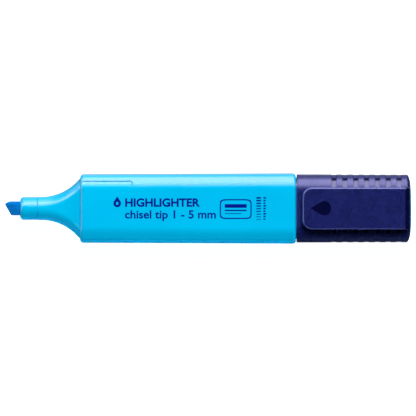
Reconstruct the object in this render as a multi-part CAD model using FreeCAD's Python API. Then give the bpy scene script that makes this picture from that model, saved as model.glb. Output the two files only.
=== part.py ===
import FreeCAD, Part
import math
import os

# A flat capped highlighter with its cap posted on the tail, lying on its broad back face.
# Units are millimetres. X runs along the pen, with the nib at -X and the cap's crown at +X.
# Z points up, out of the clip side. The origin is on the resting face, under mid-length.

Vector = FreeCAD.Vector

# ---------------------------------------------------------------- driving dimensions
PEN_LENGTH = 155.8
PEN_THICKNESS = 16.5
AXIS_Z = PEN_THICKNESS / 2
NIB_TIP_X = -PEN_LENGTH / 2
CROWN_X = PEN_LENGTH / 2

BARREL_FRONT_X = -49.05
BARREL_REAR_X = 33.6
BARREL_FRONT_WIDTH = 26.4
BARREL_REAR_WIDTH = 27.1
BARREL_WALL = 1.2
BEVEL_ANGLE = math.radians(24)
BARREL_BEVEL_RADIUS = 6.9
BARREL_BEVEL_FLAT = 1.57
BARREL_CORNER_RADIUS = 2.5
SIDE_RADIUS = 27.0
BARREL_FRONT_EDGE = 1.4
BARREL_REAR_EDGE = 1.2

RECESS_END_X = -29.2
RECESS_LOW_Y = 9.25
RECESS_HIGH_Y = 10.5
RECESS_DEPTH = 0.5
RECESS_START = 0.9
RECESS_EDGE_Z = 7.3
RECESS_REACH = 0.4

TUBE_RADIUS = 4.46
TUBE_FRONT_X = -65.5
TUBE_FRONT_CHAMFER = 0.3
FLARE_START_X = -64.15
FLARE_RADIUS = 19.2
FLARE_ANGLE = math.radians(44.5)
NOSE_WALL = 1.0
NOSE_ROOT_HALF_HEIGHT = 6.8
NOSE_ROOT_CORNER = 3.9
NOSE_ROOT_SIDE = 12.5
NOSE_SECTIONS = 9
NEAR_ROUND = 0.09
SPIGOT_LENGTH = 6.2
JOINT_LINE = 0.3

HOLDER_FRONT_X = -72.0
HOLDER_RADIUS = 4.4
HOLDER_EDGE = 1.4
HOLDER_SPIGOT_LENGTH = 8.5

NIB_WIDTH = 5.5
NIB_THICKNESS = 4.0
NIB_CORNER = 1.0
NIB_REAR_X = -35.0
NIB_EDGE_LAND = 0.6
NIB_EDGE_TOP_Y = 1.5
NIB_EDGE_SLANT = 2.42
NIB_BEVEL_LENGTH = 3.3
NIB_BEVEL_CUT_WIDTH = 20.0
NIB_CORNER_CUT = 1.3
NIB_SOFT_EDGE = 0.25

RESERVOIR_FRONT_X = -42.0
RESERVOIR_REAR_X = 36.0
RESERVOIR_HALF_WIDTH = 9.4
RESERVOIR_HALF_HEIGHT = 5.3
RESERVOIR_CORNER = 4.5
RESERVOIR_SIDE = 8.3
FILM_THICKNESS = 0.2

POST_REAR_X = 45.0
POST_HALF_WIDTH = 11.75
POST_HALF_HEIGHT = 6.4
POST_EDGE = 1.0
PLUG_SPIGOT_LENGTH = 6.0
PLUG_WALL = 1.0

CAP_MOUTH_X = 33.85
CAP_MOUTH_WIDTH = 26.2
CAP_CROWN_WIDTH = 26.0
CAP_THICKNESS = 15.9
CAP_WALL = 1.25
CAP_BEVEL_RADIUS = 7.0
CAP_BEVEL_FLAT = 1.0
CAP_CORNER_RADIUS = 4.2
CAP_LIP = 0.45
CROWN_WALL = 4.2
CROWN_DOME = 2.2
CROWN_SQUARENESS = 2.8
CROWN_STEPS = 8
CROWN_LAST_ANGLE = math.radians(84)

GROOVE_COUNT = 7
GROOVE_FIRST_X = 47.1
GROOVE_PITCH = 4.154
GROOVE_FLOOR = 1.5
GROOVE_SLOPE = 0.35
GROOVE_DEPTH = 0.13
GROOVE_INNER_Y = 7.7
FACET_START_Z = 7.6
FACET_END_Y = 10.4
FACET_ANGLE = math.radians(22)
NOTCH_Y = 11.5
NOTCH_ANGLE = math.radians(46)

INSERT_HALF_WIDTH = 10.45
INSERT_HALF_HEIGHT = 6.0
INSERT_HEAD = 2.0
INSERT_CORNER = 4.25
INSERT_SIDE = 11.75
INSERT_STEM_RADIUS = 2.4
INSERT_STEM_END_X = 76.8

LINER_MOUTH_X = 50.8
LINER_BORE_RADIUS = 4.52
LINER_WALL = 0.95
LINER_BORE_END_X = 65.3
LINER_WEB_X = 66.2
LINER_WEB = 1.2
LINER_STEM_RADIUS = 3.4

CLIP_FREE_X = 36.1
CLIP_OUTER_X = 77.4
CLIP_HALF_WIDTH = 8.1
CLIP_TOP_Z = 19.3
CLIP_THICKNESS = 1.7
CLIP_TIP_RADIUS = 3.7
CLIP_EDGE = 0.8
CLIP_BEND = 2.9
CLIP_BEND_X = CLIP_OUTER_X - CLIP_BEND
CLIP_INNER_BEND = 0.7
CLIP_HINGE_RADIUS = 1.1
CLIP_HINGE_Z = 16.3
CLIP_HINGE_GAP = 0.05
CLIP_BEAD_X = 39.5
CLIP_BEAD_HEIGHT = 0.9
CLIP_BEAD_RADIUS = 1.6
DROPLET_X = 44.4
DROPLET_RADIUS = 2.7
DROPLET_POINT = 5.2
DROPLET_DEPTH = 0.35

RUNNING_GAP = 0.05
PAST = 1.0
FAR = 60.0
PLANE_TOLERANCE = 1e-4


# ---------------------------------------------------------------- shared geometry
def section(x, half_width, half_height, corner, side, bevel=None, bevel_flat=0):
    """Closed wire across the pen at x: flat broad faces, bevels, round corners, bowed sides.

    Bevel is the radius that turns from the broad face to the bevel, which is flat for bevel_flat.
    """
    bevel = bevel or corner
    bevel_z = half_height - bevel
    corner_z = bevel_z + (bevel - corner) * math.cos(BEVEL_ANGLE) - bevel_flat * math.sin(BEVEL_ANGLE)
    corner_y = half_width - side + math.sqrt((side - corner) ** 2 - corner_z ** 2)
    bevel_y = corner_y - (bevel - corner) * math.sin(BEVEL_ANGLE) - bevel_flat * math.cos(BEVEL_ANGLE)
    meeting = math.atan2(corner_y - (half_width - side), corner_z)

    def point(y, z):
        return Vector(x, y, AXIS_Z + z)

    def on_bevel(tilt):
        return bevel_y + bevel * math.sin(tilt), bevel_z + bevel * math.cos(tilt)

    def on_corner(tilt):
        return corner_y + corner * math.sin(tilt), corner_z + corner * math.cos(tilt)

    def arc(place, tilts, sign_y, sign_z):
        """Arc through three places on one quarter, which sign_y and sign_z choose."""
        points = []
        for tilt in tilts:
            y, z = place(tilt)
            points.append(point(sign_y * y, sign_z * z))
        return Part.Arc(*points).toShape()

    def flat(sign_z):
        start = point(-sign_z * bevel_y, sign_z * half_height)
        end = point(sign_z * bevel_y, sign_z * half_height)
        return Part.LineSegment(start, end).toShape()

    def slope(sign_y, sign_z):
        """The bevel's flat part on one quarter, as a list that is empty if it has none."""
        if not bevel_flat:
            return []
        ends = []
        for y, z in (on_bevel(BEVEL_ANGLE), on_corner(BEVEL_ANGLE)):
            ends.append(point(sign_y * y, sign_z * z))
        if sign_y != sign_z:
            ends.reverse()
        return [Part.LineSegment(*ends).toShape()]

    def side_arc(sign_y):
        y, z = on_corner(meeting)
        start = point(sign_y * y, sign_y * z)
        end = point(sign_y * y, -sign_y * z)
        return Part.Arc(start, point(sign_y * half_width, 0), end).toShape()

    bevel_tilts = [0, BEVEL_ANGLE / 2, BEVEL_ANGLE]
    corner_tilts = [BEVEL_ANGLE, (BEVEL_ANGLE + meeting) / 2, meeting]
    edges = []
    for sign in (1, -1):
        edges.append(flat(sign))
        edges.append(arc(on_bevel, bevel_tilts, sign, sign))
        edges.extend(slope(sign, sign))
        edges.append(arc(on_corner, corner_tilts, sign, sign))
        edges.append(side_arc(sign))
        edges.append(arc(on_corner, corner_tilts[::-1], sign, -sign))
        edges.extend(slope(sign, -sign))
        edges.append(arc(on_bevel, bevel_tilts[::-1], sign, -sign))
    return Part.Wire(edges)


def prism(x_start, x_end, half_width, half_height, corner, side, bevel=None, bevel_flat=0):
    """Straight bar of the pen's section between two stations."""
    face = Part.Face(section(x_start, half_width, half_height, corner, side, bevel, bevel_flat))
    return face.extrude(Vector(x_end - x_start, 0, 0))


def tapering_bar(near_wire, far_wire):
    """Straight-sided bar between two like sections, with exact planes for its broad faces."""
    faces = [Part.Face(near_wire), Part.Face(far_wire)]
    for near, far in zip(near_wire.OrderedEdges, far_wire.OrderedEdges):
        if isinstance(near.Curve, Part.Line):
            corners = [near.Vertexes[0].Point, near.Vertexes[1].Point,
                       far.Vertexes[1].Point, far.Vertexes[0].Point]
            faces.append(Part.Face(Part.makePolygon(corners + corners[:1])))
        else:
            faces.append(Part.makeRuledSurface(near, far))
    shell = Part.Shell(faces)
    shell.sewShape()
    solid = Part.Solid(shell)
    if solid.Volume < 0:
        solid.reverse()
    return solid


def slab(x_range, y_range, z_range):
    """Plain box between two values on each axis."""
    size = [high - low for low, high in (x_range, y_range, z_range)]
    return Part.makeBox(*size, Vector(x_range[0], y_range[0], z_range[0]))


def rod(x_start, x_end, radius):
    """Round bar on the pen's axis."""
    return Part.makeCylinder(radius, x_end - x_start, Vector(x_start, 0, AXIS_Z), Vector(1, 0, 0))


def end_edges(shape, x):
    """Edges that lie wholly in the plane across the pen at x."""
    return [edge for edge in shape.Edges
            if abs(edge.BoundBox.XMin - x) < PLANE_TOLERANCE
            and abs(edge.BoundBox.XMax - x) < PLANE_TOLERANCE]


def outline_prism(points, low_z, high_z):
    """Solid between two heights over a closed plan outline of straight runs."""
    corners = [Vector(x, y, low_z) for x, y in points]
    wire = Part.makePolygon(corners + corners[:1])
    return Part.Face(wire).extrude(Vector(0, 0, high_z - low_z))


def save(shape, node):
    """Write one sub-part as STEP after checking that it is one sound solid."""
    solid = shape.Solids[0] if len(shape.Solids) == 1 else shape
    if not solid.isValid() or len(shape.Solids) != 1:
        raise RuntimeError("%s is not one valid solid" % node)
    solid.exportStep("parts/%s.step" % node)
    box = solid.optimalBoundingBox(False, False)
    print("%-16s %8.1f mm3  x %6.2f %6.2f  y %6.2f %6.2f  z %6.2f %6.2f" % (
        node, solid.Volume, box.XMin, box.XMax, box.YMin, box.YMax, box.ZMin, box.ZMax))


# ---------------------------------------------------------------- barrel
def barrel_half_width(x):
    share = (x - BARREL_FRONT_X) / (BARREL_REAR_X - BARREL_FRONT_X)
    return (BARREL_FRONT_WIDTH + share * (BARREL_REAR_WIDTH - BARREL_FRONT_WIDTH)) / 2


def barrel_body(inset):
    """The barrel's outer form, a bar that widens to the tail, shrunk all round by inset."""
    wires = []
    for x in (BARREL_FRONT_X, BARREL_REAR_X):
        wires.append(section(x, barrel_half_width(x) - inset, AXIS_Z - inset, BARREL_CORNER_RADIUS - inset,
                             SIDE_RADIUS - inset, BARREL_BEVEL_RADIUS - inset, BARREL_BEVEL_FLAT))
    return tapering_bar(*wires)


def barrel_bore(x_start, x_end):
    """The barrel's straight bore, which the front section and the end plug are pressed into."""
    return prism(x_start, x_end, BARREL_FRONT_WIDTH / 2 - BARREL_WALL, AXIS_Z - BARREL_WALL,
                 BARREL_CORNER_RADIUS - BARREL_WALL, SIDE_RADIUS - BARREL_WALL,
                 BARREL_BEVEL_RADIUS - BARREL_WALL, BARREL_BEVEL_FLAT)


def recess_outline(growth):
    """Plan of the recess at a height above its upper edge, which its 45 degree walls widen it by."""
    half = (RECESS_HIGH_Y - RECESS_LOW_Y) / 2 + growth
    middle_y = (RECESS_HIGH_Y + RECESS_LOW_Y) / 2
    start_x = BARREL_FRONT_X + RECESS_START
    end_x = RECESS_END_X + growth - half

    def point(x, y):
        return Vector(x, y, AXIS_Z + RECESS_EDGE_Z + growth)

    corners = [point(start_x, middle_y - half), point(end_x, middle_y - half),
               point(end_x, middle_y + half), point(start_x, middle_y + half)]
    end = Part.Arc(corners[1], point(end_x + half, middle_y), corners[2]).toShape()
    lines = []
    for first, second in ((0, 1), (2, 3), (3, 0)):
        lines.append(Part.LineSegment(corners[first], corners[second]).toShape())
    return Part.Wire([lines[0], end, lines[1], lines[2]])


def shoulder_recess():
    """Shallow slot along the upper shoulder, with sloping walls and a rounded end towards the tail."""
    slot = Part.makeLoft([recess_outline(-RECESS_REACH), recess_outline(PAST)], True, True)
    return slot.cut(barrel_body(RECESS_DEPTH))


def make_barrel():
    body = barrel_body(0)
    body = body.makeFillet(BARREL_FRONT_EDGE, end_edges(body, BARREL_FRONT_X))
    body = body.makeFillet(BARREL_REAR_EDGE, end_edges(body, BARREL_REAR_X))
    bore = barrel_bore(BARREL_FRONT_X - PAST, BARREL_REAR_X + PAST)
    return body.cut(shoulder_recess()).cut(bore)


# ---------------------------------------------------------------- front section and nib
def flare_half_width(x):
    """Half-width of the trumpet: a round sweep, then a straight flare at its last slope."""
    sweep = FLARE_RADIUS * math.sin(FLARE_ANGLE)
    reach = x - FLARE_START_X
    if reach <= 0:
        return TUBE_RADIUS
    if reach <= sweep:
        return TUBE_RADIUS + FLARE_RADIUS - math.sqrt(FLARE_RADIUS ** 2 - reach ** 2)
    sweep_rise = FLARE_RADIUS * (1 - math.cos(FLARE_ANGLE))
    return TUBE_RADIUS + sweep_rise + (reach - sweep) * math.tan(FLARE_ANGLE)


def flare_section(x, inset):
    """Section of the trumpet, which turns from round to the barrel's form as it widens."""
    half_width = flare_half_width(x)
    share = (half_width - TUBE_RADIUS) / (flare_half_width(BARREL_FRONT_X) - TUBE_RADIUS)
    half_height = TUBE_RADIUS + share * (NOSE_ROOT_HALF_HEIGHT - TUBE_RADIUS)
    corner = (1 - share) * (TUBE_RADIUS - NEAR_ROUND) + share * NOSE_ROOT_CORNER
    side = (1 - share) * (TUBE_RADIUS + NEAR_ROUND) + share * NOSE_ROOT_SIDE
    return section(x, half_width - inset, half_height - inset, corner - inset, side - inset)


def flare(inset):
    """Trumpet from the tube to the barrel's front face."""
    step = (BARREL_FRONT_X - FLARE_START_X) / NOSE_SECTIONS
    stations = [FLARE_START_X + step * index for index in range(NOSE_SECTIONS + 1)]
    return Part.makeLoft([flare_section(x, inset) for x in stations], True, False)


def flare_end_prism(x, x_start, x_end, inset):
    """Straight bar that carries on the trumpet's section from one of its ends."""
    profile = flare_section(x, inset)
    profile.translate(Vector(x_start - x, 0, 0))
    return Part.Face(profile).extrude(Vector(x_end - x_start, 0, 0))


def make_front_section():
    """Nose: a tube for the nib holder, a trumpet, and a spigot pressed into the barrel."""
    spigot_start = BARREL_FRONT_X + JOINT_LINE
    spigot_end = BARREL_FRONT_X + SPIGOT_LENGTH
    tube = flare_end_prism(FLARE_START_X, TUBE_FRONT_X, FLARE_START_X, 0)
    tube = tube.makeChamfer(TUBE_FRONT_CHAMFER, end_edges(tube, TUBE_FRONT_X))
    outer = flare(0).fuse([
        tube,
        flare_end_prism(BARREL_FRONT_X, BARREL_FRONT_X, spigot_start, 0),
        barrel_bore(spigot_start, spigot_end),
    ])
    hollow = flare(NOSE_WALL).fuse([
        flare_end_prism(FLARE_START_X, TUBE_FRONT_X - PAST, FLARE_START_X, NOSE_WALL),
        flare_end_prism(BARREL_FRONT_X, BARREL_FRONT_X, spigot_end + PAST, NOSE_WALL),
    ])
    return outer.cut(hollow)


def make_nib_holder(nib):
    """Collar with a rounded front edge and a spigot inside the tube, bored to fit the nib."""
    shoulder_x = HOLDER_FRONT_X + HOLDER_EDGE
    collar = rod(HOLDER_FRONT_X, TUBE_FRONT_X, HOLDER_RADIUS)
    collar = collar.makeFillet(HOLDER_EDGE, end_edges(collar, HOLDER_FRONT_X))
    spigot = rod(shoulder_x, TUBE_FRONT_X + HOLDER_SPIGOT_LENGTH, TUBE_RADIUS - NOSE_WALL - RUNNING_GAP)
    return collar.fuse(spigot).cut(nib)


def nib_edge_cut():
    """Everything in front of the slanted writing edge, and the small cut above its tip."""
    half = NIB_WIDTH / 2
    low_x = NIB_TIP_X + NIB_EDGE_SLANT
    clear_x = NIB_TIP_X - PAST
    cut_x = NIB_TIP_X + NIB_CORNER_CUT
    front = [(NIB_TIP_X, NIB_EDGE_TOP_Y), (low_x, -half), (low_x, -half - PAST), (clear_x, -half - PAST),
             (clear_x, half + PAST), (cut_x, half + PAST), (cut_x, half)]
    return outline_prism(front, 0, PEN_THICKNESS)


def nib_bevel(sign):
    """Wedge that thins the nib from one broad side towards the writing edge."""
    edge_length = math.hypot(NIB_EDGE_SLANT, NIB_EDGE_TOP_Y + NIB_WIDTH / 2)
    back = Vector((NIB_EDGE_TOP_Y + NIB_WIDTH / 2) / edge_length, NIB_EDGE_SLANT / edge_length, 0)
    along = Vector(back.y, -back.x, 0)
    tip = Vector(NIB_TIP_X, NIB_EDGE_TOP_Y, AXIS_Z)
    half = NIB_THICKNESS / 2
    slope = (half - NIB_EDGE_LAND / 2) / NIB_BEVEL_LENGTH
    rear = NIB_BEVEL_LENGTH + PAST
    profile = [(-PAST, NIB_EDGE_LAND / 2 - slope * PAST), (rear, half + slope * PAST),
               (rear, NIB_THICKNESS), (-PAST, NIB_THICKNESS)]
    corners = []
    for reach, height in profile:
        corners.append(tip + back * reach + Vector(0, 0, sign * height) - along * (NIB_BEVEL_CUT_WIDTH / 2))
    wire = Part.makePolygon(corners + corners[:1])
    return Part.Face(wire).extrude(along * NIB_BEVEL_CUT_WIDTH)


def make_nib():
    """Bonded-fibre bar, cut to a slanted chisel, that runs back into the reservoir."""
    half_width = NIB_WIDTH / 2
    half_height = NIB_THICKNESS / 2
    z_range = (AXIS_Z - half_height, AXIS_Z + half_height)
    bar = slab((NIB_TIP_X, NIB_REAR_X), (-half_width, half_width), z_range)
    long_edges = [edge for edge in bar.Edges if edge.BoundBox.XLength > NIB_WIDTH]
    bar = bar.makeFillet(NIB_CORNER, long_edges)
    nib = bar.cut(nib_edge_cut()).cut(nib_bevel(1)).cut(nib_bevel(-1))
    front_edges = [edge for edge in nib.Edges
                   if edge.BoundBox.XMax < NIB_TIP_X + NIB_BEVEL_LENGTH
                   and edge.BoundBox.YLength > NIB_WIDTH / 2]
    return nib.makeFillet(NIB_SOFT_EDGE, front_edges)


# ---------------------------------------------------------------- ink and tail
def reservoir_bar(inset):
    """Oval bar of the ink reservoir, shrunk all round by inset."""
    return prism(RESERVOIR_FRONT_X, RESERVOIR_REAR_X, RESERVOIR_HALF_WIDTH - inset,
                 RESERVOIR_HALF_HEIGHT - inset, RESERVOIR_CORNER - inset, RESERVOIR_SIDE - inset)


def make_reservoir(nib):
    return reservoir_bar(FILM_THICKNESS).cut(nib)


def make_film():
    return reservoir_bar(0).cut(reservoir_bar(FILM_THICKNESS))


def post_bar(inset, x_start, x_end):
    """Straight bar of the tail post's section, which the cap's mouth fits over."""
    return prism(x_start, x_end, POST_HALF_WIDTH - inset, POST_HALF_HEIGHT - inset,
                 NOSE_ROOT_CORNER - inset, NOSE_ROOT_SIDE - inset)


def make_end_plug():
    """Plug pressed into the barrel's tail, with a hollow post outside for the cap."""
    spigot_start = BARREL_REAR_X - PLUG_SPIGOT_LENGTH
    spigot = barrel_bore(spigot_start, BARREL_REAR_X - JOINT_LINE)
    post = post_bar(0, BARREL_REAR_X - JOINT_LINE, POST_REAR_X)
    post = post.makeFillet(POST_EDGE, end_edges(post, POST_REAR_X))
    hollow = post_bar(PLUG_WALL, spigot_start - PAST, POST_REAR_X - PLUG_WALL)
    return spigot.fuse(post).cut(hollow)


# ---------------------------------------------------------------- cap
def cap_section(x, inset):
    share = (x - CAP_MOUTH_X) / (CROWN_X - CROWN_DOME - CAP_MOUTH_X)
    half_width = (CAP_MOUTH_WIDTH + share * (CAP_CROWN_WIDTH - CAP_MOUTH_WIDTH)) / 2
    return section(x, half_width - inset, CAP_THICKNESS / 2 - inset, CAP_CORNER_RADIUS - inset,
                   SIDE_RADIUS - inset, CAP_BEVEL_RADIUS - inset, CAP_BEVEL_FLAT)


def dome():
    """Squarish dome that closes the crown: the cap's section shrinking over a short way."""
    start_x = CROWN_X - CROWN_DOME
    power = 2 / CROWN_SQUARENESS
    wires = []
    for step in range(CROWN_STEPS + 1):
        angle = CROWN_LAST_ANGLE * step / CROWN_STEPS
        scale = math.cos(angle) ** power
        reach = CROWN_DOME * math.sin(angle) ** power
        wires.append(section(start_x + reach, CAP_CROWN_WIDTH / 2 * scale, CAP_THICKNESS / 2 * scale,
                             CAP_CORNER_RADIUS * scale, SIDE_RADIUS * scale, CAP_BEVEL_RADIUS * scale,
                             CAP_BEVEL_FLAT * scale))
    return Part.makeLoft(wires, True, False)


def groove_cutter(start_x):
    """Ring that waists the cap at one groove, kept to the shoulders and narrow sides."""
    floor_start = start_x + GROOVE_SLOPE
    floor_end = floor_start + GROOVE_FLOOR
    end_x = floor_end + GROOVE_SLOPE
    wires = [cap_section(start_x, 0), cap_section(floor_start, GROOVE_DEPTH),
             cap_section(floor_end, GROOVE_DEPTH), cap_section(end_x, 0)]
    waist = Part.makeLoft(wires, True, True)
    sides = []
    for low_y, high_y in ((GROOVE_INNER_Y, FAR), (-FAR, -GROOVE_INNER_Y)):
        sides.append(slab((start_x, end_x), (low_y, high_y), (-PAST, PEN_THICKNESS + PAST)))
    return sides[0].fuse(sides[1]).cut(waist)


def groove_pocket(start_x):
    """Flat facet in a groove's floor and the sharp notch beyond it, on the upper shoulder."""
    facet_z = FACET_START_Z - (FACET_END_Y - GROOVE_INNER_Y) * math.tan(FACET_ANGLE)
    notch_z = facet_z - (NOTCH_Y - FACET_END_Y) * math.tan(NOTCH_ANGLE)
    profile = [(GROOVE_INNER_Y, FACET_START_Z), (FACET_END_Y, facet_z), (NOTCH_Y, notch_z),
               (NOTCH_Y, PEN_THICKNESS), (GROOVE_INNER_Y, PEN_THICKNESS)]
    corners = [Vector(start_x + GROOVE_SLOPE, y, AXIS_Z + z) for y, z in profile]
    wire = Part.makePolygon(corners + corners[:1])
    return Part.Face(wire).extrude(Vector(GROOVE_FLOOR, 0, 0))


def clip_root_cutter():
    """Seat for the clip's root: a half-round trough along the crown's top edge, open behind."""
    hinge_x = CLIP_OUTER_X - CLIP_HINGE_RADIUS
    radius = CLIP_HINGE_RADIUS + CLIP_HINGE_GAP
    reach = CLIP_HALF_WIDTH + CLIP_HINGE_GAP
    trough = Part.makeCylinder(radius, 2 * reach, Vector(hinge_x, -reach, CLIP_HINGE_Z), Vector(0, 1, 0))
    above = slab((hinge_x - radius, FAR + CROWN_X), (-reach, reach), (CLIP_HINGE_Z, FAR))
    behind = slab((hinge_x, FAR + CROWN_X), (-reach, reach), (CLIP_HINGE_Z - radius, FAR))
    return trough.fuse([above, behind])


def insert_head(gap):
    """Oval opening in the crown, grown by gap, from its ledge outwards."""
    start_x = CROWN_X - INSERT_HEAD
    return prism(start_x, CROWN_X + PAST, INSERT_HALF_WIDTH + gap, INSERT_HALF_HEIGHT + gap,
                 INSERT_CORNER + gap, INSERT_SIDE + gap)


def make_cap_shell():
    body = tapering_bar(cap_section(CAP_MOUTH_X, 0), cap_section(CROWN_X - CROWN_DOME, 0))
    body = body.makeFillet(CAP_LIP, end_edges(body, CAP_MOUTH_X)).fuse(dome())
    cavity_wires = [cap_section(x, CAP_WALL) for x in (CAP_MOUTH_X, CROWN_X)]
    cavity = Part.makeLoft(cavity_wires, True, True)
    cavity = cavity.common(slab((CAP_MOUTH_X - PAST, CROWN_X - CROWN_WALL), (-FAR, FAR), (-FAR, FAR)))
    body = body.cut(cavity)
    for index in range(GROOVE_COUNT):
        start_x = GROOVE_FIRST_X + index * GROOVE_PITCH
        body = body.cut([groove_cutter(start_x), groove_pocket(start_x)])
    body = body.cut(clip_root_cutter())
    throat = rod(CROWN_X - CROWN_WALL - PAST, CROWN_X, INSERT_STEM_RADIUS)
    return body.cut(insert_head(0).fuse(throat))


def make_cap_insert():
    """Colour plug that closes the crown, with a stem down to the liner."""
    head = insert_head(-RUNNING_GAP).common(dome())
    stem = rod(LINER_WEB_X + LINER_WEB, INSERT_STEM_END_X, INSERT_STEM_RADIUS)
    return head.fuse(stem)


def make_inner_cap():
    """Sealing liner: a cup for the nib tube on a web that spans the cap, with a tail tube."""
    cup = rod(LINER_MOUTH_X, LINER_WEB_X + LINER_WEB, LINER_BORE_RADIUS + LINER_WALL)
    web_wires = [cap_section(x, CAP_WALL + RUNNING_GAP) for x in (LINER_WEB_X, LINER_WEB_X + LINER_WEB)]
    web = Part.makeLoft(web_wires, True, True)
    tail = rod(LINER_WEB_X, CROWN_X - CROWN_WALL, LINER_STEM_RADIUS)
    bore = rod(LINER_MOUTH_X - PAST, LINER_BORE_END_X, LINER_BORE_RADIUS)
    socket = rod(LINER_WEB_X + LINER_WEB, CROWN_X, INSERT_STEM_RADIUS)
    return cup.fuse([web, tail]).cut(bore.fuse(socket))


# ---------------------------------------------------------------- clip
def clip_profile():
    """Side view of the clip: a long tongue with a grip bead, bent down to a round root."""
    low_z = CLIP_TOP_Z - CLIP_THICKNESS
    root_x = CLIP_OUTER_X - 2 * CLIP_HINGE_RADIUS
    hinge_x = CLIP_OUTER_X - CLIP_HINGE_RADIUS
    diagonal = math.sqrt(0.5)

    def point(x, z):
        return Vector(x, -CLIP_HALF_WIDTH, z)

    def line(start, end):
        return Part.LineSegment(point(*start), point(*end)).toShape()

    def arc(start, middle, end):
        return Part.Arc(point(*start), point(*middle), point(*end)).toShape()

    bend_z = CLIP_TOP_Z - CLIP_BEND
    inner_x = root_x - CLIP_INNER_BEND
    inner_z = low_z - CLIP_INNER_BEND
    top_start = (CLIP_FREE_X, CLIP_TOP_Z)
    top_end = (CLIP_BEND_X, CLIP_TOP_Z)
    outer_middle = (CLIP_BEND_X + CLIP_BEND * diagonal, bend_z + CLIP_BEND * diagonal)
    outer_high = (CLIP_OUTER_X, bend_z)
    outer_low = (CLIP_OUTER_X, CLIP_HINGE_Z)
    inner_low = (root_x, CLIP_HINGE_Z)
    inner_high = (root_x, inner_z)
    inner_middle = (inner_x + CLIP_INNER_BEND * diagonal, inner_z + CLIP_INNER_BEND * diagonal)
    under_end = (inner_x, low_z)
    under_start = (CLIP_FREE_X, low_z)
    return Part.Wire([
        line(top_start, top_end),
        arc(top_end, outer_middle, outer_high),
        line(outer_high, outer_low),
        arc(outer_low, (hinge_x, CLIP_HINGE_Z - CLIP_HINGE_RADIUS), inner_low),
        line(inner_low, inner_high),
        arc(inner_high, inner_middle, under_end),
        line(under_end, under_start),
        line(under_start, top_start),
    ])


def droplet_cutter():
    """Shallow ink-drop recess in the clip's face, its point towards the free end."""
    reach = math.acos(DROPLET_RADIUS / DROPLET_POINT)
    tangent_x = DROPLET_X - DROPLET_RADIUS * math.cos(reach)
    tangent_y = DROPLET_RADIUS * math.sin(reach)
    point = outline_prism([(DROPLET_X - DROPLET_POINT, 0), (tangent_x, tangent_y), (tangent_x, -tangent_y)],
                          CLIP_TOP_Z - DROPLET_DEPTH, CLIP_TOP_Z + PAST)
    bulb = Part.makeCylinder(DROPLET_RADIUS, DROPLET_DEPTH + PAST,
                             Vector(DROPLET_X, 0, CLIP_TOP_Z - DROPLET_DEPTH))
    return point.fuse(bulb)


def make_clip():
    clip = Part.Face(clip_profile()).extrude(Vector(0, 2 * CLIP_HALF_WIDTH, 0))
    tip_edges = [edge for edge in clip.Edges
                 if abs(edge.BoundBox.XMax - CLIP_FREE_X) < PLANE_TOLERANCE
                 and edge.BoundBox.ZLength > CLIP_THICKNESS / 2]
    clip = clip.makeFillet(CLIP_TIP_RADIUS, tip_edges)
    top_face = max(clip.Faces, key=lambda face: face.CenterOfMass.z)
    rim_edges = [edge for edge in top_face.Edges if edge.BoundBox.XMin < CLIP_BEND_X - PLANE_TOLERANCE]
    clip = clip.makeFillet(CLIP_EDGE, rim_edges)
    bead_z = CLIP_TOP_Z - CLIP_THICKNESS - CLIP_BEAD_HEIGHT + CLIP_BEAD_RADIUS
    bead_reach = CLIP_HALF_WIDTH - CLIP_TIP_RADIUS
    bead = Part.makeCylinder(CLIP_BEAD_RADIUS, 2 * bead_reach, Vector(CLIP_BEAD_X, -bead_reach, bead_z),
                             Vector(0, 1, 0))
    bead = bead.common(slab((0, FAR), (-FAR, FAR), (0, CLIP_TOP_Z - CLIP_THICKNESS / 2)))
    return clip.fuse(bead).cut(droplet_cutter())


# ---------------------------------------------------------------- build
def main():
    os.makedirs("parts", exist_ok=True)
    nib = make_nib()
    save(nib, "chisel_nib")
    save(make_nib_holder(nib), "nib_holder")
    save(make_front_section(), "front_section")
    save(make_barrel(), "barrel")
    save(make_reservoir(nib), "ink_reservoir")
    save(make_film(), "reservoir_film")
    save(make_end_plug(), "end_plug")
    save(make_cap_shell(), "cap_shell")
    save(make_clip(), "clip")
    save(make_inner_cap(), "inner_cap")
    save(make_cap_insert(), "cap_end_insert")


main()
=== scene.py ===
import math

import bpy
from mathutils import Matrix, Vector, noise


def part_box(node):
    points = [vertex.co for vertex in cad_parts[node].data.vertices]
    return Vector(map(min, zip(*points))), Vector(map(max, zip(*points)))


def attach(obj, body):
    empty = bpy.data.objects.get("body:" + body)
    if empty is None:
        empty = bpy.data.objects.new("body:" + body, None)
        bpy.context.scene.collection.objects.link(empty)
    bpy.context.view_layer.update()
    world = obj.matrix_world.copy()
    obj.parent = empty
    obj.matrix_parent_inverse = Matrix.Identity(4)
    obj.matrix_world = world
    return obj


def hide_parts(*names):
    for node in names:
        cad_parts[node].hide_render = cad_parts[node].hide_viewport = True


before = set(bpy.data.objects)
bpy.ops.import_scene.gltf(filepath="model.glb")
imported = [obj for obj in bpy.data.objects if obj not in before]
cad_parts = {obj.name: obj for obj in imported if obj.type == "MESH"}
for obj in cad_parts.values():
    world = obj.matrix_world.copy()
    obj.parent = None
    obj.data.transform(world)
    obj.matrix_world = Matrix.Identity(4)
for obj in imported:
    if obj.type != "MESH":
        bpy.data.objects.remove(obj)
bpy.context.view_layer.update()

MM = 0.001

# ---------------------------------------------------------------- places, from the frame
BARREL_LOW, BARREL_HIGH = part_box("barrel")
CAP_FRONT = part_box("cap_shell")[0].x
CLIP_FACE_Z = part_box("clip")[1].z
NIB_LOW, NIB_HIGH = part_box("chisel_nib")
CROWN_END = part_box("cap_end_insert")[1].x
BARREL_FRONT = BARREL_LOW.x
BARREL_FACE_Z = BARREL_HIGH.z
AXIS_Z = (BARREL_LOW.z + BARREL_HIGH.z) / 2
PEN_LENGTH = CROWN_END - NIB_LOW.x

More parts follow.
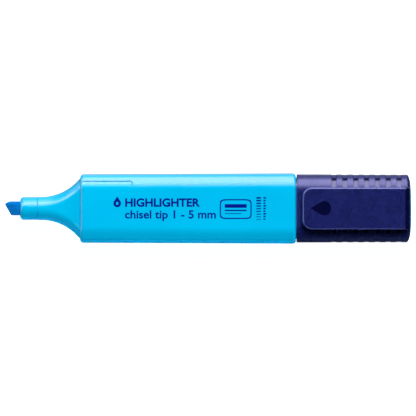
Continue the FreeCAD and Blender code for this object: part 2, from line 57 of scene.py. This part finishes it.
# ---------------------------------------------------------------- colours, linear
CYAN = (0.0, 0.53, 0.89)
CYAN_DEEP = (0.0, 0.48, 0.84)
NAVY = (0.002, 0.004, 0.048)
NAVY_LIGHT = (0.012, 0.018, 0.138)
# painted shade: a darker navy for the polished groove floors, the clip's droplet recess and the clip's
# bend
NAVY_PAINTED_SHADE = (0.002, 0.003, 0.035)
# painted highlight: a pale navy along the clip's rounded rim, where its fillet catches the light
NAVY_RIM_PAINTED_HIGHLIGHT = (0.062, 0.072, 0.28)
PRINT_INK = (0.002, 0.003, 0.21)
PRINT_INK_THIN = (0.002, 0.012, 0.26)
NIB_BLUE = (0.0, 0.205, 0.63)
NIB_DARK = (0.0, 0.09, 0.40)
LINER_MILK = (0.86, 0.87, 0.85)
LINER_CLOUD = (0.78, 0.79, 0.76)
FILM_CLEAR = (0.85, 0.93, 0.97)
CYAN_GLOSS_TINT = (1.0, 0.6, 0.75)
NAVY_GLOSS_TINT = (0.62, 0.60, 1.0)
WHITE = (1.0, 1.0, 1.0)
FLOOR_GREY = (0.8, 0.8, 0.8)
FILL_TINT = (0.6, 0.85, 1.0)

# ---------------------------------------------------------------- surface relief and finish
PARTING_HALF = 0.04 * MM
PARTING_DEPTH = 0.03 * MM
PEEL_DEPTH = 0.004 * MM
SPARK_DEPTH = 0.02 * MM
SCUFF_ROUGHNESS = 0.12
POLISHED_ROUGHNESS = 0.12

# ---------------------------------------------------------------- chisel nib
NIB_EDGE_TOP = 1.5 * MM
NIB_EDGE_SLANT = 2.42 * MM
NIB_CORNER_CUT = 2.0 * MM
NIB_BEVEL_LENGTH = 3.3 * MM
NIB_EDGE_HALF = 0.3 * MM
NIB_RING_POINTS = 144
NIB_FRONT_STATIONS = 44
NIB_FRONT_LENGTH = 7.0 * MM
NIB_STATION_CROWDING = 1.5
NIB_SQUARENESS = 5.0
NIB_EDGE_ROUNDING = 0.3 * MM
STRAND_WIDTH = 0.16 * MM
STRAND_LENGTH = 6.0 * MM
STRAND_SHARE = 0.016
FRAY_WIDTH = 0.22 * MM
FRAY_DEPTH = 0.05 * MM
FRAY_REACH = 0.6 * MM
FRAY_SEED = 7.3

# ---------------------------------------------------------------- cap grooves
GROOVE_FIRST = CAP_FRONT + 13.25 * MM
GROOVE_PITCH = 4.154 * MM
GROOVE_SLOPE = 0.35 * MM
GROOVE_FLOOR = 1.5 * MM
GROOVE_COUNT = 7
GROOVE_INNER = 7.7 * MM
GROOVE_NOTCH = 11.5 * MM
# where the painted dark on the lower groove floors ends, sooner than on the upper side
GROOVE_SHEEN_END = 9.5 * MM

# ---------------------------------------------------------------- print on the barrel
# A place is a low and a high corner in millimetres, from the barrel's front end and the pen's axis.
DROP_PLACE = ((12.8, 0.4), (15.7, 4.5))
TITLE_PLACE = ((17.3, 0.55), (45.9, 3.85))
TIP_NOTE_PLACE = ((17.2, -4.9), (52.0, -0.75))
PAGE_PLACE = ((53.5, -4.1), (65.7, 3.5))
WIDTH_SCALE_PLACE = ((67.5, -4.4), (71.2, 4.3))
TITLE_WEIGHT = 0.034
TIP_NOTE_WEIGHT = 0.02
INK_FILM = 0.02 * MM
INK_BITE = 0.004 * MM

# Shapes are drawn in units of their own, and then fitted to their places.
DROP_RADIUS = 1.0
DROP_TIP = 1.75
DROP_EYE = (0.32, 0.42)
DROP_POINTS = 40
ROUND_POINTS = 96
PAGE_HALF_WIDTH = 6.1
PAGE_HALF_HEIGHT = 3.8
PAGE_SQUARENESS = 7.0
PAGE_BORDER = 0.45
STROKE_START = -4.2
# each stroke's low side, high side and end
STROKES = ((0.5, 1.9, 4.2), (-0.75, -0.25, 4.2), (-1.85, -1.6, 2.2))
SCALE_STEPS = 9
SCALE_LINE_END = 1.5
SCALE_THINNEST = 0.22
SCALE_GROWTH = 0.05
SCALE_MARK_START = 2.3
SCALE_MARK_WIDTH = 0.6
SCALE_MARK_GROWTH = 0.12
SCALE_MARK_HEIGHT = 0.6

# ---------------------------------------------------------------- studio
# The softbox is a long band beyond the pen. Its lean is in degrees from straight up, towards +Y.
# Sides, corners, along, across and height are parts of the unit direction that a ray leaves in.
SOFTBOX_RISE = (17, 53)
SOFTBOX_STRENGTH = 5.5
SOFTBOX_DIM = (54, 76)
SOFTBOX_DIM_SHARE = 0.35
SOFTBOX_END = (80, 100)
SOFTBOX_END_SHARE = 0.3
SOFTBOX_SIDES = (0.75, 0.9)
SOFTBOX_CORNERS = (0.15, 0.4)
SOFTBOX_CORNERS_LEAN = (52, 62)
SOFTBOX_CORNERS_DIM = 0.75
NIB_GLOW = 0.8
NIB_GLOW_ALONG = (-0.75, -0.64)
NIB_GLOW_ACROSS = (-0.35, -0.15)
TABLE_GLOW = 4.8
TABLE_GLOW_HEIGHT = (-0.6, -0.14)
TABLE_GLOW_SOFT = 0.1
TABLE_GLOW_ACROSS = (-0.5, -0.2)
FILL_BELOW = 0.8
FILL_ABOVE = 0.08
FILL_HEIGHT = (-0.25, 0.0)
FLOOR_HALF = 20.0
FLOOR_GLOW = 0.96
LAMP_ENERGY = 4.2
LAMP_SPREAD = 24
LAMP_LEAN_TO_CAP = 10
LAMP_LEAN_BEYOND = 38
CAMERA_DISTANCE = 6.0
CAMERA_FAR_END = 100.0
CAMERA_SENSOR = 36.0
VIEW_MARGIN = 1.0232
VIEW_CENTRE = (-0.04 * MM, 0.12 * MM)


# ---------------------------------------------------------------- node trees
class Graph:
    """A node tree, with short calls for the nodes that the looks share."""

    def __init__(self, tree):
        self.tree = tree

    def add(self, kind, **settings):
        node = self.tree.nodes.new(kind)
        for key, value in settings.items():
            setattr(node, key, value)
        return node

    def feed(self, socket, value):
        """Give a socket a link, a number or a colour."""
        if isinstance(value, bpy.types.NodeSocket):
            self.tree.links.new(value, socket)
        elif isinstance(value, tuple) and len(value) == 3 and socket.type == "RGBA":
            socket.default_value = (*value, 1)
        else:
            socket.default_value = value

    def math(self, operation, *values):
        node = self.add("ShaderNodeMath", operation=operation)
        for socket, value in zip(node.inputs, values):
            self.feed(socket, value)
        return node.outputs[0]

    def times(self, *values):
        result = values[0]
        for value in values[1:]:
            result = self.math("MULTIPLY", result, value)
        return result

    def plus(self, *values):
        result = values[0]
        for value in values[1:]:
            result = self.math("ADD", result, value)
        return result

    def split(self, vector):
        node = self.add("ShaderNodeSeparateXYZ")
        self.feed(node.inputs[0], vector)
        return node.outputs

    def remap(self, value, low, high, to_low, to_high, shape="SMOOTHSTEP"):
        node = self.add("ShaderNodeMapRange", interpolation_type=shape)
        for key, number in (("Value", value), ("From Min", low), ("From Max", high),
                            ("To Min", to_low), ("To Max", to_high)):
            self.feed(node.inputs[key], number)
        return node.outputs[0]

    def between(self, value, low, high, soft):
        """1 between two values and 0 outside them, over a soft edge."""
        rising = self.remap(value, low - soft, low + soft, 0.0, 1.0)
        falling = self.remap(value, high - soft, high + soft, 1.0, 0.0)
        return self.times(rising, falling)

    def blend(self, share, first, second):
        """Mix two colours."""
        node = self.add("ShaderNodeMix", data_type="RGBA")
        self.feed(node.inputs[0], share)
        self.feed(node.inputs[6], first)
        self.feed(node.inputs[7], second)
        return node.outputs[2]


class Recipe(Graph):
    """A material round one principled shader."""

    def __init__(self, name):
        self.material = bpy.data.materials.new(name)
        self.material.use_nodes = True
        super().__init__(self.material.node_tree)
        self.shader = self.tree.nodes["Principled BSDF"]
        coordinates = self.add("ShaderNodeTexCoord").outputs
        self.place = coordinates["Object"]
        self.facing = coordinates["Normal"]

    def set(self, **values):
        """Feed the principled shader's inputs, named with underscores for spaces."""
        for key, value in values.items():
            self.feed(self.shader.inputs[key.replace("_", " ")], value)

    def noise(self, grain, detail=2.0, stretch=(1, 1, 1), roughness=0.5):
        """Fractal noise whose blobs are about grain across, in metres."""
        mapping = self.add("ShaderNodeMapping")
        self.feed(mapping.inputs["Vector"], self.place)
        mapping.inputs["Scale"].default_value = tuple(axis / grain for axis in stretch)
        node = self.add("ShaderNodeTexNoise")
        self.feed(node.inputs["Vector"], mapping.outputs[0])
        node.inputs["Scale"].default_value = 1.0
        node.inputs["Detail"].default_value = detail
        node.inputs["Roughness"].default_value = roughness
        return node.outputs["Fac"]

    def bump(self, height, depth, strength=1.0, under=None):
        """Surface relief: height from 0 to 1 stands for depth in metres."""
        node = self.add("ShaderNodeBump")
        self.feed(node.inputs["Height"], height)
        self.feed(node.inputs["Strength"], strength)
        node.inputs["Distance"].default_value = depth
        if under is not None:
            self.feed(node.inputs["Normal"], under)
        return node.outputs[0]


# ---------------------------------------------------------------- materials
def gloss_plastic(name, roughness=0.1):
    """Polished cyan polypropylene: flow marks, orange peel, fine scuffs and a parting line."""
    recipe = Recipe(name)
    flow = recipe.noise(18.0 * MM, detail=3.0, stretch=(0.35, 1, 1))
    peel = recipe.noise(1.2 * MM)
    scuff = recipe.noise(0.9 * MM, detail=4.0, stretch=(0.12, 1, 1), roughness=0.7)
    scuffed = recipe.remap(scuff, 0.60, 0.78, 0.0, 1.0)
    height = recipe.split(recipe.place)[2]
    parting = recipe.between(height, AXIS_Z - PARTING_HALF, AXIS_Z + PARTING_HALF, 0.03 * MM)
    recipe.set(
        Base_Color=recipe.blend(recipe.remap(flow, 0.3, 0.7, 0.0, 1.0), CYAN, CYAN_DEEP),
        Roughness=recipe.plus(roughness, recipe.times(scuffed, SCUFF_ROUGHNESS)),
        Specular_IOR_Level=1.0,
        Specular_Tint=CYAN_GLOSS_TINT,
        IOR=1.49,
        Normal=recipe.bump(parting, PARTING_DEPTH, under=recipe.bump(peel, PEEL_DEPTH)),
    )
    return recipe.material


def navy_plastic(name, finish):
    """Spark-textured dark plastic. Finish says where it is mould-polished and painted darker as shade, and
    where a pale highlight is painted on.
    """
    recipe = Recipe(name)
    pits = recipe.noise(0.25 * MM, detail=3.0, roughness=0.6)
    speckle = recipe.noise(0.75 * MM, detail=3.0, roughness=0.7)
    mottle = recipe.noise(4.0 * MM, detail=3.0)
    # finish gives the polished places, which are also painted darker as shade, and the places where a pale
    # highlight is painted
    polished_and_painted_shade, rim_painted_highlight = finish(recipe)
    textured = recipe.blend(recipe.remap(speckle, 0.36, 0.64, 0.0, 1.0), NAVY, NAVY_LIGHT)
    matt = recipe.remap(mottle, 0.3, 0.7, 0.28, 0.35)
    rough = recipe.math("SUBTRACT", 1.0, polished_and_painted_shade)
    recipe.set(
        # painted shade and painted highlight: the polished places are painted a darker navy, and the
        # clip's rim a pale navy
        Base_Color=recipe.blend(rim_painted_highlight, recipe.blend(polished_and_painted_shade, textured, NAVY_PAINTED_SHADE), NAVY_RIM_PAINTED_HIGHLIGHT),
        Roughness=recipe.plus(recipe.times(matt, rough), recipe.times(polished_and_painted_shade, POLISHED_ROUGHNESS)),
        Specular_IOR_Level=1.0,
        IOR=1.6,
        Specular_Tint=NAVY_GLOSS_TINT,
        Normal=recipe.bump(pits, SPARK_DEPTH, recipe.times(rough, 0.8)),
    )
    return recipe.material


def groove_floors(recipe):
    """The cap's finish: polished on the floors of its grip grooves, which are also painted darker as
    shade, and no painted highlight anywhere.
    """
    x, y, _ = recipe.split(recipe.place)
    turns = recipe.math("DIVIDE", recipe.math("SUBTRACT", x, GROOVE_FIRST), GROOVE_PITCH)
    along = recipe.times(recipe.math("FRACT", turns), GROOVE_PITCH)
    on_floor = recipe.between(along, GROOVE_SLOPE, GROOVE_SLOPE + GROOVE_FLOOR, 0.05 * MM)
    in_row = recipe.between(turns, 0.0, float(GROOVE_COUNT), 0.01)
    upper = recipe.between(y, GROOVE_INNER, GROOVE_NOTCH, 0.05 * MM)
    # on the lower side the band painted dark as shade is narrower than on the upper side
    lower = recipe.between(y, -GROOVE_SHEEN_END, -GROOVE_INNER, 0.1 * MM)
    on_side = recipe.plus(upper, lower)
    return recipe.times(on_floor, in_row, on_side), 0.0


def clip_rim(recipe):
    """The clip's finish: polished and painted darker as shade in its droplet recess and on its bend, and a
    pale highlight painted along its rounded rim.
    """
    # A face's normal says where it looks: 1 is square on to the crown's end, or straight up.
    facing_crown, _, facing_up = recipe.split(recipe.facing)
    height = recipe.split(recipe.place)[2]
    # the bend faces the crown and is painted dark as shade, besides being polished
    bend = recipe.remap(facing_crown, 0.1, 0.4, 0.0, 1.0)
    off_bend = recipe.math("SUBTRACT", 1.0, bend)
    tongue_edge = recipe.times(recipe.between(facing_up, 0.2, 0.95, 0.04), off_bend)
    bend_edge = recipe.times(recipe.between(facing_up, 0.04, 0.3, 0.04), bend)
    # the rim is where a pale highlight is painted in the base colour; it is also partly polished
    rim = recipe.plus(tongue_edge, bend_edge)
    # the droplet recess floor is painted dark as shade, besides being polished
    sunk = recipe.remap(height, CLIP_FACE_Z - 0.1 * MM, CLIP_FACE_Z - 0.05 * MM, 1.0, 0.0)
    above = recipe.remap(height, CLIP_FACE_Z - 0.6 * MM, CLIP_FACE_Z - 0.5 * MM, 0.0, 1.0)
    flat = recipe.remap(facing_up, 0.97, 0.99, 0.0, 1.0)
    smooth = recipe.math("MAXIMUM", bend, recipe.times(rim, 0.7))
    polished_and_painted_shade = recipe.math("MAXIMUM", smooth, recipe.times(sunk, above, flat))
    return polished_and_painted_shade, rim


def fibre(name, colour, dark):
    """Bonded fibre bar: fine strands along the pen, wet with ink."""
    recipe = Recipe(name)
    strands = recipe.noise(0.12 * MM, detail=3.0, stretch=(0.06, 1, 1), roughness=0.6)
    patches = recipe.noise(1.4 * MM, stretch=(0.4, 1, 1))
    recipe.set(
        Base_Color=recipe.blend(recipe.times(strands, patches), colour, dark),
        Roughness=recipe.remap(strands, 0.3, 0.7, 0.45, 0.7),
        Specular_IOR_Level=0.2,
        Normal=recipe.bump(strands, depth=0.04 * MM, strength=0.9),
    )
    return recipe.material


def liner_plastic(name):
    """Unpigmented polyethylene: milky, waxy and faintly cloudy."""
    recipe = Recipe(name)
    cloud = recipe.noise(4.0 * MM, detail=3.0)
    recipe.set(
        Base_Color=recipe.blend(cloud, LINER_MILK, LINER_CLOUD),
        Roughness=recipe.remap(cloud, 0.3, 0.7, 0.35, 0.5),
        Subsurface_Weight=0.2,
        Subsurface_Scale=1.0 * MM,
        Normal=recipe.bump(recipe.noise(0.4 * MM), depth=0.006 * MM),
    )
    return recipe.material


def clear_film(name):
    """Thin clear wrap, crinkled along its seam."""
    recipe = Recipe(name)
    crinkle = recipe.noise(2.0 * MM, detail=3.0, stretch=(0.3, 1, 1))
    recipe.set(
        Base_Color=FILM_CLEAR,
        Roughness=recipe.remap(crinkle, 0.3, 0.7, 0.08, 0.25),
        Alpha=0.45,
        Normal=recipe.bump(crinkle, depth=0.05 * MM),
    )
    return recipe.material


def print_ink(name):
    """Pad-printed ink: slightly uneven cover, with a satin skin."""
    recipe = Recipe(name)
    cover = recipe.noise(0.4 * MM, detail=3.0)
    recipe.set(
        Base_Color=recipe.blend(cover, PRINT_INK, PRINT_INK_THIN),
        Roughness=recipe.remap(cover, 0.3, 0.7, 0.3, 0.45),
        Specular_IOR_Level=0.3,
        Normal=recipe.bump(cover, depth=0.003 * MM),
    )
    return recipe.material


def dress(node, material):
    """Give a CAD node its finish."""
    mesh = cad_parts[node].data
    mesh.materials.clear()
    mesh.materials.append(material)


def dress_cad_nodes():
    """Every CAD node but the nib, which make_nib replaces, gets the finish of its own plastic or fibre."""
    dress("barrel", gloss_plastic("barrel_plastic"))
    dress("front_section", gloss_plastic("front_section_plastic"))
    dress("nib_holder", gloss_plastic("nib_holder_plastic"))
    dress("end_plug", gloss_plastic("end_plug_plastic", 0.15))
    dress("cap_end_insert", gloss_plastic("insert_plastic", 0.12))
    dress("cap_shell", navy_plastic("cap_plastic", groove_floors))
    dress("clip", navy_plastic("clip_plastic", clip_rim))
    dress("ink_reservoir", fibre("reservoir_fibre", NIB_BLUE, NIB_DARK))
    dress("inner_cap", liner_plastic("liner_plastic"))
    dress("reservoir_film", clear_film("clear_film"))


# ---------------------------------------------------------------- shapes
def piece(name, mesh, body, material):
    """Put a finished mesh on a body and material."""
    mesh.materials.clear()
    mesh.materials.append(material)
    shape = bpy.data.objects.new(name, mesh)
    bpy.context.collection.objects.link(shape)
    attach(shape, body)
    return shape


def smooth_min(first, second, reach):
    """The smaller of two values, rounded where they meet."""
    share = max(reach - abs(first - second), 0.0) / reach
    return min(first, second) - share * share * reach / 4


def nib_front(y):
    """Where the writing edge lies at y: a slant, and a worn round corner above its tip."""
    half_width = NIB_HIGH.y
    slant = (NIB_EDGE_TOP - y) * NIB_EDGE_SLANT / (NIB_EDGE_TOP + half_width)
    corner = max(y - NIB_EDGE_TOP, 0.0) / (half_width - NIB_EDGE_TOP)
    return NIB_LOW.x + max(slant, NIB_CORNER_CUT * corner * corner)


def nib_half_height(behind):
    """How thick the chisel is at a distance behind its edge: a worn edge, then the bevel."""
    half_height = NIB_HIGH.z - AXIS_Z
    worn = min(behind / NIB_EDGE_HALF, 1.0)
    edge = NIB_EDGE_HALF * math.sqrt(1 - (1 - worn) ** 2)
    slope = (half_height - NIB_EDGE_HALF) / NIB_BEVEL_LENGTH
    return edge + max(behind - NIB_EDGE_HALF / 2, 0.0) * slope


def nib_ring(reach):
    """One ring of the nib, reach behind the writing edge at every point, grooved by its strands."""
    half_width = NIB_HIGH.y
    half_height = NIB_HIGH.z - AXIS_Z
    square_on = math.cos(math.atan2(NIB_EDGE_SLANT, NIB_EDGE_TOP + half_width))
    ring = []
    for index in range(NIB_RING_POINTS):
        angle = 2 * math.pi * index / NIB_RING_POINTS
        across, up = math.cos(angle), math.sin(angle)
        y = half_width * math.copysign(abs(across) ** (2 / NIB_SQUARENESS), across)
        z = half_height * math.copysign(abs(up) ** (2 / NIB_SQUARENESS), up)
        height = smooth_min(abs(z), nib_half_height(reach * square_on), NIB_EDGE_ROUNDING)
        strand = noise.noise(Vector((reach / STRAND_LENGTH, y / STRAND_WIDTH, z / STRAND_WIDTH)))
        fray = 0.5 + 0.5 * noise.noise(Vector((FRAY_SEED, y / FRAY_WIDTH, z / FRAY_WIDTH)))
        tight = 1 - STRAND_SHARE * (0.5 + 0.5 * strand)
        x = nib_front(y) + reach + fray * FRAY_DEPTH * max(1 - reach / FRAY_REACH, 0.0)
        ring.append(Vector((x, y * tight, AXIS_Z + math.copysign(max(height, 0.0), z) * tight)))
    return ring


def make_nib():
    """Chisel of bonded fibre, with a worn edge and strands along it, down to its rear end."""
    reaches = []
    for step in range(NIB_FRONT_STATIONS):
        share = step / (NIB_FRONT_STATIONS - 1)
        reaches.append(NIB_FRONT_LENGTH * share ** NIB_STATION_CROWDING)
    rings = [nib_ring(reach) for reach in reaches]
    rings.append([Vector((NIB_HIGH.x, point.y, point.z)) for point in rings[-1]])
    points = [point for ring in rings for point in ring]
    faces = []
    for row in range(len(rings) - 1):
        for index in range(NIB_RING_POINTS):
            after = (index + 1) % NIB_RING_POINTS
            start, end = row * NIB_RING_POINTS, (row + 1) * NIB_RING_POINTS
            faces.append((start + index, start + after, end + after, end + index))
    last = (len(rings) - 1) * NIB_RING_POINTS
    faces.append(tuple(range(NIB_RING_POINTS - 1, -1, -1)))
    faces.append(tuple(range(last, last + NIB_RING_POINTS)))
    mesh = bpy.data.meshes.new("fibre_nib")
    mesh.from_pydata(points, [], faces)
    mesh.polygons.foreach_set("use_smooth", [True] * len(mesh.polygons))
    nib = piece("fibre_nib", mesh, "pen", fibre("nib_fibre", NIB_BLUE, NIB_DARK))
    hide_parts("chisel_nib")


# ---------------------------------------------------------------- print
def curve_mesh(curve):
    """The filled, slightly thick mesh of a flat curve or a line of words."""
    curve.extrude = 0.5
    holder = bpy.data.objects.new("outline", curve)
    bpy.context.collection.objects.link(holder)
    bpy.context.view_layer.update()
    graph = bpy.context.evaluated_depsgraph_get()
    mesh = bpy.data.meshes.new_from_object(holder.evaluated_get(graph))
    bpy.data.objects.remove(holder)
    bpy.data.curves.remove(curve)
    return mesh


def words_mesh(words, weight):
    """A line of words, whose strokes are made bolder by weight."""
    curve = bpy.data.curves.new("words", "FONT")
    curve.body = words
    curve.offset = weight
    curve.resolution_u = 4
    return curve_mesh(curve)


def outlines_mesh(outlines):
    """Filled shapes from closed outlines; an outline inside another is a hole."""
    curve = bpy.data.curves.new("outlines", "CURVE")
    curve.dimensions = "2D"
    curve.fill_mode = "BOTH"
    for outline in outlines:
        spline = curve.splines.new("POLY")
        spline.points.add(len(outline) - 1)
        for point, (x, y) in zip(spline.points, outline):
            point.co = (x, y, 0, 1)
        spline.use_cyclic_u = True
    return curve_mesh(curve)


def print_on_barrel(name, mesh, low, high):
    """Fit a mesh into a rectangle on the barrel's face, and ink it."""
    corners = []
    for axis in range(3):
        values = [vertex.co[axis] for vertex in mesh.vertices]
        corners.append((min(values), max(values)))
    targets = ((BARREL_FRONT + low[0] * MM, BARREL_FRONT + high[0] * MM), (low[1] * MM, high[1] * MM),
               (BARREL_FACE_Z - INK_BITE, BARREL_FACE_Z + INK_FILM))
    for vertex in mesh.vertices:
        place = []
        for value, (start, end), (to_start, to_end) in zip(vertex.co, corners, targets):
            place.append(to_start + (value - start) / (end - start) * (to_end - to_start))
        vertex.co = place
    mesh.update()
    piece(name, mesh, "pen", print_ink(name + "_ink"))


def drop_outline():
    """An ink drop: a round bulb, drawn out to a point above it."""
    reach = math.acos(DROP_RADIUS / DROP_TIP)
    outline = [(0.0, DROP_TIP)]
    for index in range(DROP_POINTS + 1):
        angle = math.pi / 2 + reach + (2 * math.pi - 2 * reach) * index / DROP_POINTS
        outline.append((DROP_RADIUS * math.cos(angle), DROP_RADIUS * math.sin(angle)))
    return outline


def round_outline(half_width, half_height, squareness=2.0):
    """An oval at squareness 2, which turns into a rounded rectangle as squareness grows."""
    outline = []
    for index in range(ROUND_POINTS):
        angle = 2 * math.pi * index / ROUND_POINTS
        across, up = math.cos(angle), math.sin(angle)
        outline.append((half_width * math.copysign(abs(across) ** (2 / squareness), across),
                        half_height * math.copysign(abs(up) ** (2 / squareness), up)))
    return outline


def bar_outline(low_x, low_y, high_x, high_y):
    """A plain rectangle."""
    return [(low_x, low_y), (high_x, low_y), (high_x, high_y), (low_x, high_y)]


def page_outlines():
    """A page with a rounded border and three strokes on it, each finer than the one above."""
    outlines = []
    for inset in (0.0, PAGE_BORDER):
        outlines.append(round_outline(PAGE_HALF_WIDTH - inset, PAGE_HALF_HEIGHT - inset, PAGE_SQUARENESS))
    for low, high, end in STROKES:
        outlines.append(bar_outline(STROKE_START, low, end, high))
    return outlines


def width_scale_outlines():
    """A ladder of lines that grow thicker upwards, with a small mark beside each."""
    outlines = []
    for index in range(SCALE_STEPS):
        low = float(index)
        thickness = SCALE_THINNEST + SCALE_GROWTH * index
        outlines.append(bar_outline(0.0, low, SCALE_LINE_END, low + thickness))
        mark_end = SCALE_MARK_START + SCALE_MARK_WIDTH + SCALE_MARK_GROWTH * (index % 3)
        outlines.append(bar_outline(SCALE_MARK_START, low, mark_end, low + SCALE_MARK_HEIGHT))
    return outlines


def make_print():
    """Generic print: an ink drop, what the pen is, its tip, a page with strokes and a scale of widths."""
    drop = outlines_mesh([drop_outline(), round_outline(*DROP_EYE)])
    print_on_barrel("print_drop", drop, *DROP_PLACE)
    print_on_barrel("print_title", words_mesh("HIGHLIGHTER", TITLE_WEIGHT), *TITLE_PLACE)
    print_on_barrel("print_tip_note", words_mesh("chisel tip 1 - 5 mm", TIP_NOTE_WEIGHT), *TIP_NOTE_PLACE)
    print_on_barrel("print_page", outlines_mesh(page_outlines()), *PAGE_PLACE)
    print_on_barrel("print_width_scale", outlines_mesh(width_scale_outlines()), *WIDTH_SCALE_PLACE)


# ---------------------------------------------------------------- stage
def make_floor():
    """Pale table top that also glows, so that it stays an even near-white. It is clear from below."""
    mesh = bpy.data.meshes.new("floor")
    half = FLOOR_HALF
    corners = [(-half, -half, 0), (half, -half, 0), (half, half, 0), (-half, half, 0)]
    mesh.from_pydata(corners, [], [(0, 1, 2, 3)])
    floor = bpy.data.objects.new("floor", mesh)
    bpy.context.collection.objects.link(floor)
    floor.visible_diffuse = False
    floor.visible_glossy = False
    recipe = Recipe("floor_white")
    recipe.set(
        Base_Color=FLOOR_GREY,
        Roughness=0.9,
        Specular_IOR_Level=0.0,
        Emission_Color=WHITE,
        Emission_Strength=FLOOR_GLOW,
    )
    sides = recipe.add("ShaderNodeMixShader")
    recipe.feed(sides.inputs[0], recipe.add("ShaderNodeNewGeometry").outputs["Backfacing"])
    recipe.feed(sides.inputs[1], recipe.shader.outputs[0])
    recipe.feed(sides.inputs[2], recipe.add("ShaderNodeBsdfTransparent").outputs[0])
    recipe.feed(recipe.tree.nodes["Material Output"].inputs["Surface"], sides.outputs[0])
    mesh.materials.append(recipe.material)


def softbox_shine(graph, x, y, z):
    """The softbox that the gloss shows: a band high beyond the pen, dimmer low down at its two ends."""
    lean = graph.math("DEGREES", graph.math("ARCTAN2", y, z))
    band = graph.times(graph.remap(lean, *SOFTBOX_RISE, 0.0, SOFTBOX_STRENGTH, "LINEAR"),
                       graph.remap(lean, *SOFTBOX_DIM, 1.0, SOFTBOX_DIM_SHARE),
                       graph.remap(lean, *SOFTBOX_END, 1.0, SOFTBOX_END_SHARE))
    aside = graph.math("ABSOLUTE", x)
    middle = graph.remap(aside, *SOFTBOX_SIDES, 1.0, 0.0)
    low_corners = graph.times(graph.remap(aside, *SOFTBOX_CORNERS, 0.0, SOFTBOX_CORNERS_DIM),
                              graph.remap(lean, *SOFTBOX_CORNERS_LEAN, 0.0, 1.0))
    return graph.times(band, middle, graph.math("SUBTRACT", 1.0, low_corners))


def nib_end_shine(graph, x, y):
    """A weak second card beyond the nib, which lights the rounds that face that way."""
    along = graph.remap(x, *NIB_GLOW_ALONG, NIB_GLOW, 0.0)
    return graph.times(along, graph.remap(y, *NIB_GLOW_ACROSS, 0.0, 1.0))


def diffuse_fill(graph, y, z):
    """Soft light that the table throws back, strongest on the near side of the pen."""
    near_table = graph.times(graph.between(z, *TABLE_GLOW_HEIGHT, TABLE_GLOW_SOFT),
                             graph.remap(y, *TABLE_GLOW_ACROSS, TABLE_GLOW, 0.0))
    return graph.plus(graph.remap(z, *FILL_HEIGHT, FILL_BELOW, FILL_ABOVE), near_table)


def make_world():
    """White surround for the camera, with its own light for matt surfaces and for gloss."""
    world = bpy.data.worlds.new("studio")
    world.use_nodes = True
    world.cycles.sampling_method = "NONE"
    graph = Graph(world.node_tree)
    x, y, z = graph.split(graph.add("ShaderNodeTexCoord").outputs["Generated"])
    rays = graph.add("ShaderNodeLightPath").outputs
    shine = graph.plus(softbox_shine(graph, x, y, z), nib_end_shine(graph, x, y))
    strength = graph.plus(rays["Is Camera Ray"],
                          graph.times(rays["Is Diffuse Ray"], diffuse_fill(graph, y, z)),
                          graph.times(rays["Is Glossy Ray"], shine))
    background = world.node_tree.nodes["Background"]
    graph.feed(background.inputs["Color"], graph.blend(rays["Is Diffuse Ray"], WHITE, FILL_TINT))
    graph.feed(background.inputs["Strength"], strength)
    bpy.context.scene.world = world


def make_lights():
    """One overhead lamp, leaning from beyond the pen and from its cap end, for form and shadow."""
    lamp = bpy.data.lights.new("overhead", "SUN")
    lamp.energy = LAMP_ENERGY
    lamp.angle = math.radians(LAMP_SPREAD)
    holder = bpy.data.objects.new("overhead", lamp)
    bpy.context.collection.objects.link(holder)
    to_cap = math.tan(math.radians(LAMP_LEAN_TO_CAP))
    beyond = math.tan(math.radians(LAMP_LEAN_BEYOND))
    holder.rotation_euler = Vector((to_cap, beyond, 1)).to_track_quat("Z", "Y").to_euler()
    holder.visible_glossy = False


def make_camera():
    """Looks straight down on the clip side, so far off that the pen shows as flat."""
    data = bpy.data.cameras.new("camera")
    data.sensor_width = CAMERA_SENSOR
    data.lens = CAMERA_SENSOR * CAMERA_DISTANCE / (PEN_LENGTH * VIEW_MARGIN)
    data.clip_end = CAMERA_FAR_END
    camera = bpy.data.objects.new("camera", data)
    bpy.context.collection.objects.link(camera)
    camera.location = (*VIEW_CENTRE, AXIS_Z + CAMERA_DISTANCE)
    bpy.context.scene.camera = camera
    bpy.context.scene.view_settings.view_transform = "Standard"


dress_cad_nodes()
make_nib()
make_print()
make_floor()
make_world()
make_lights()
make_camera()
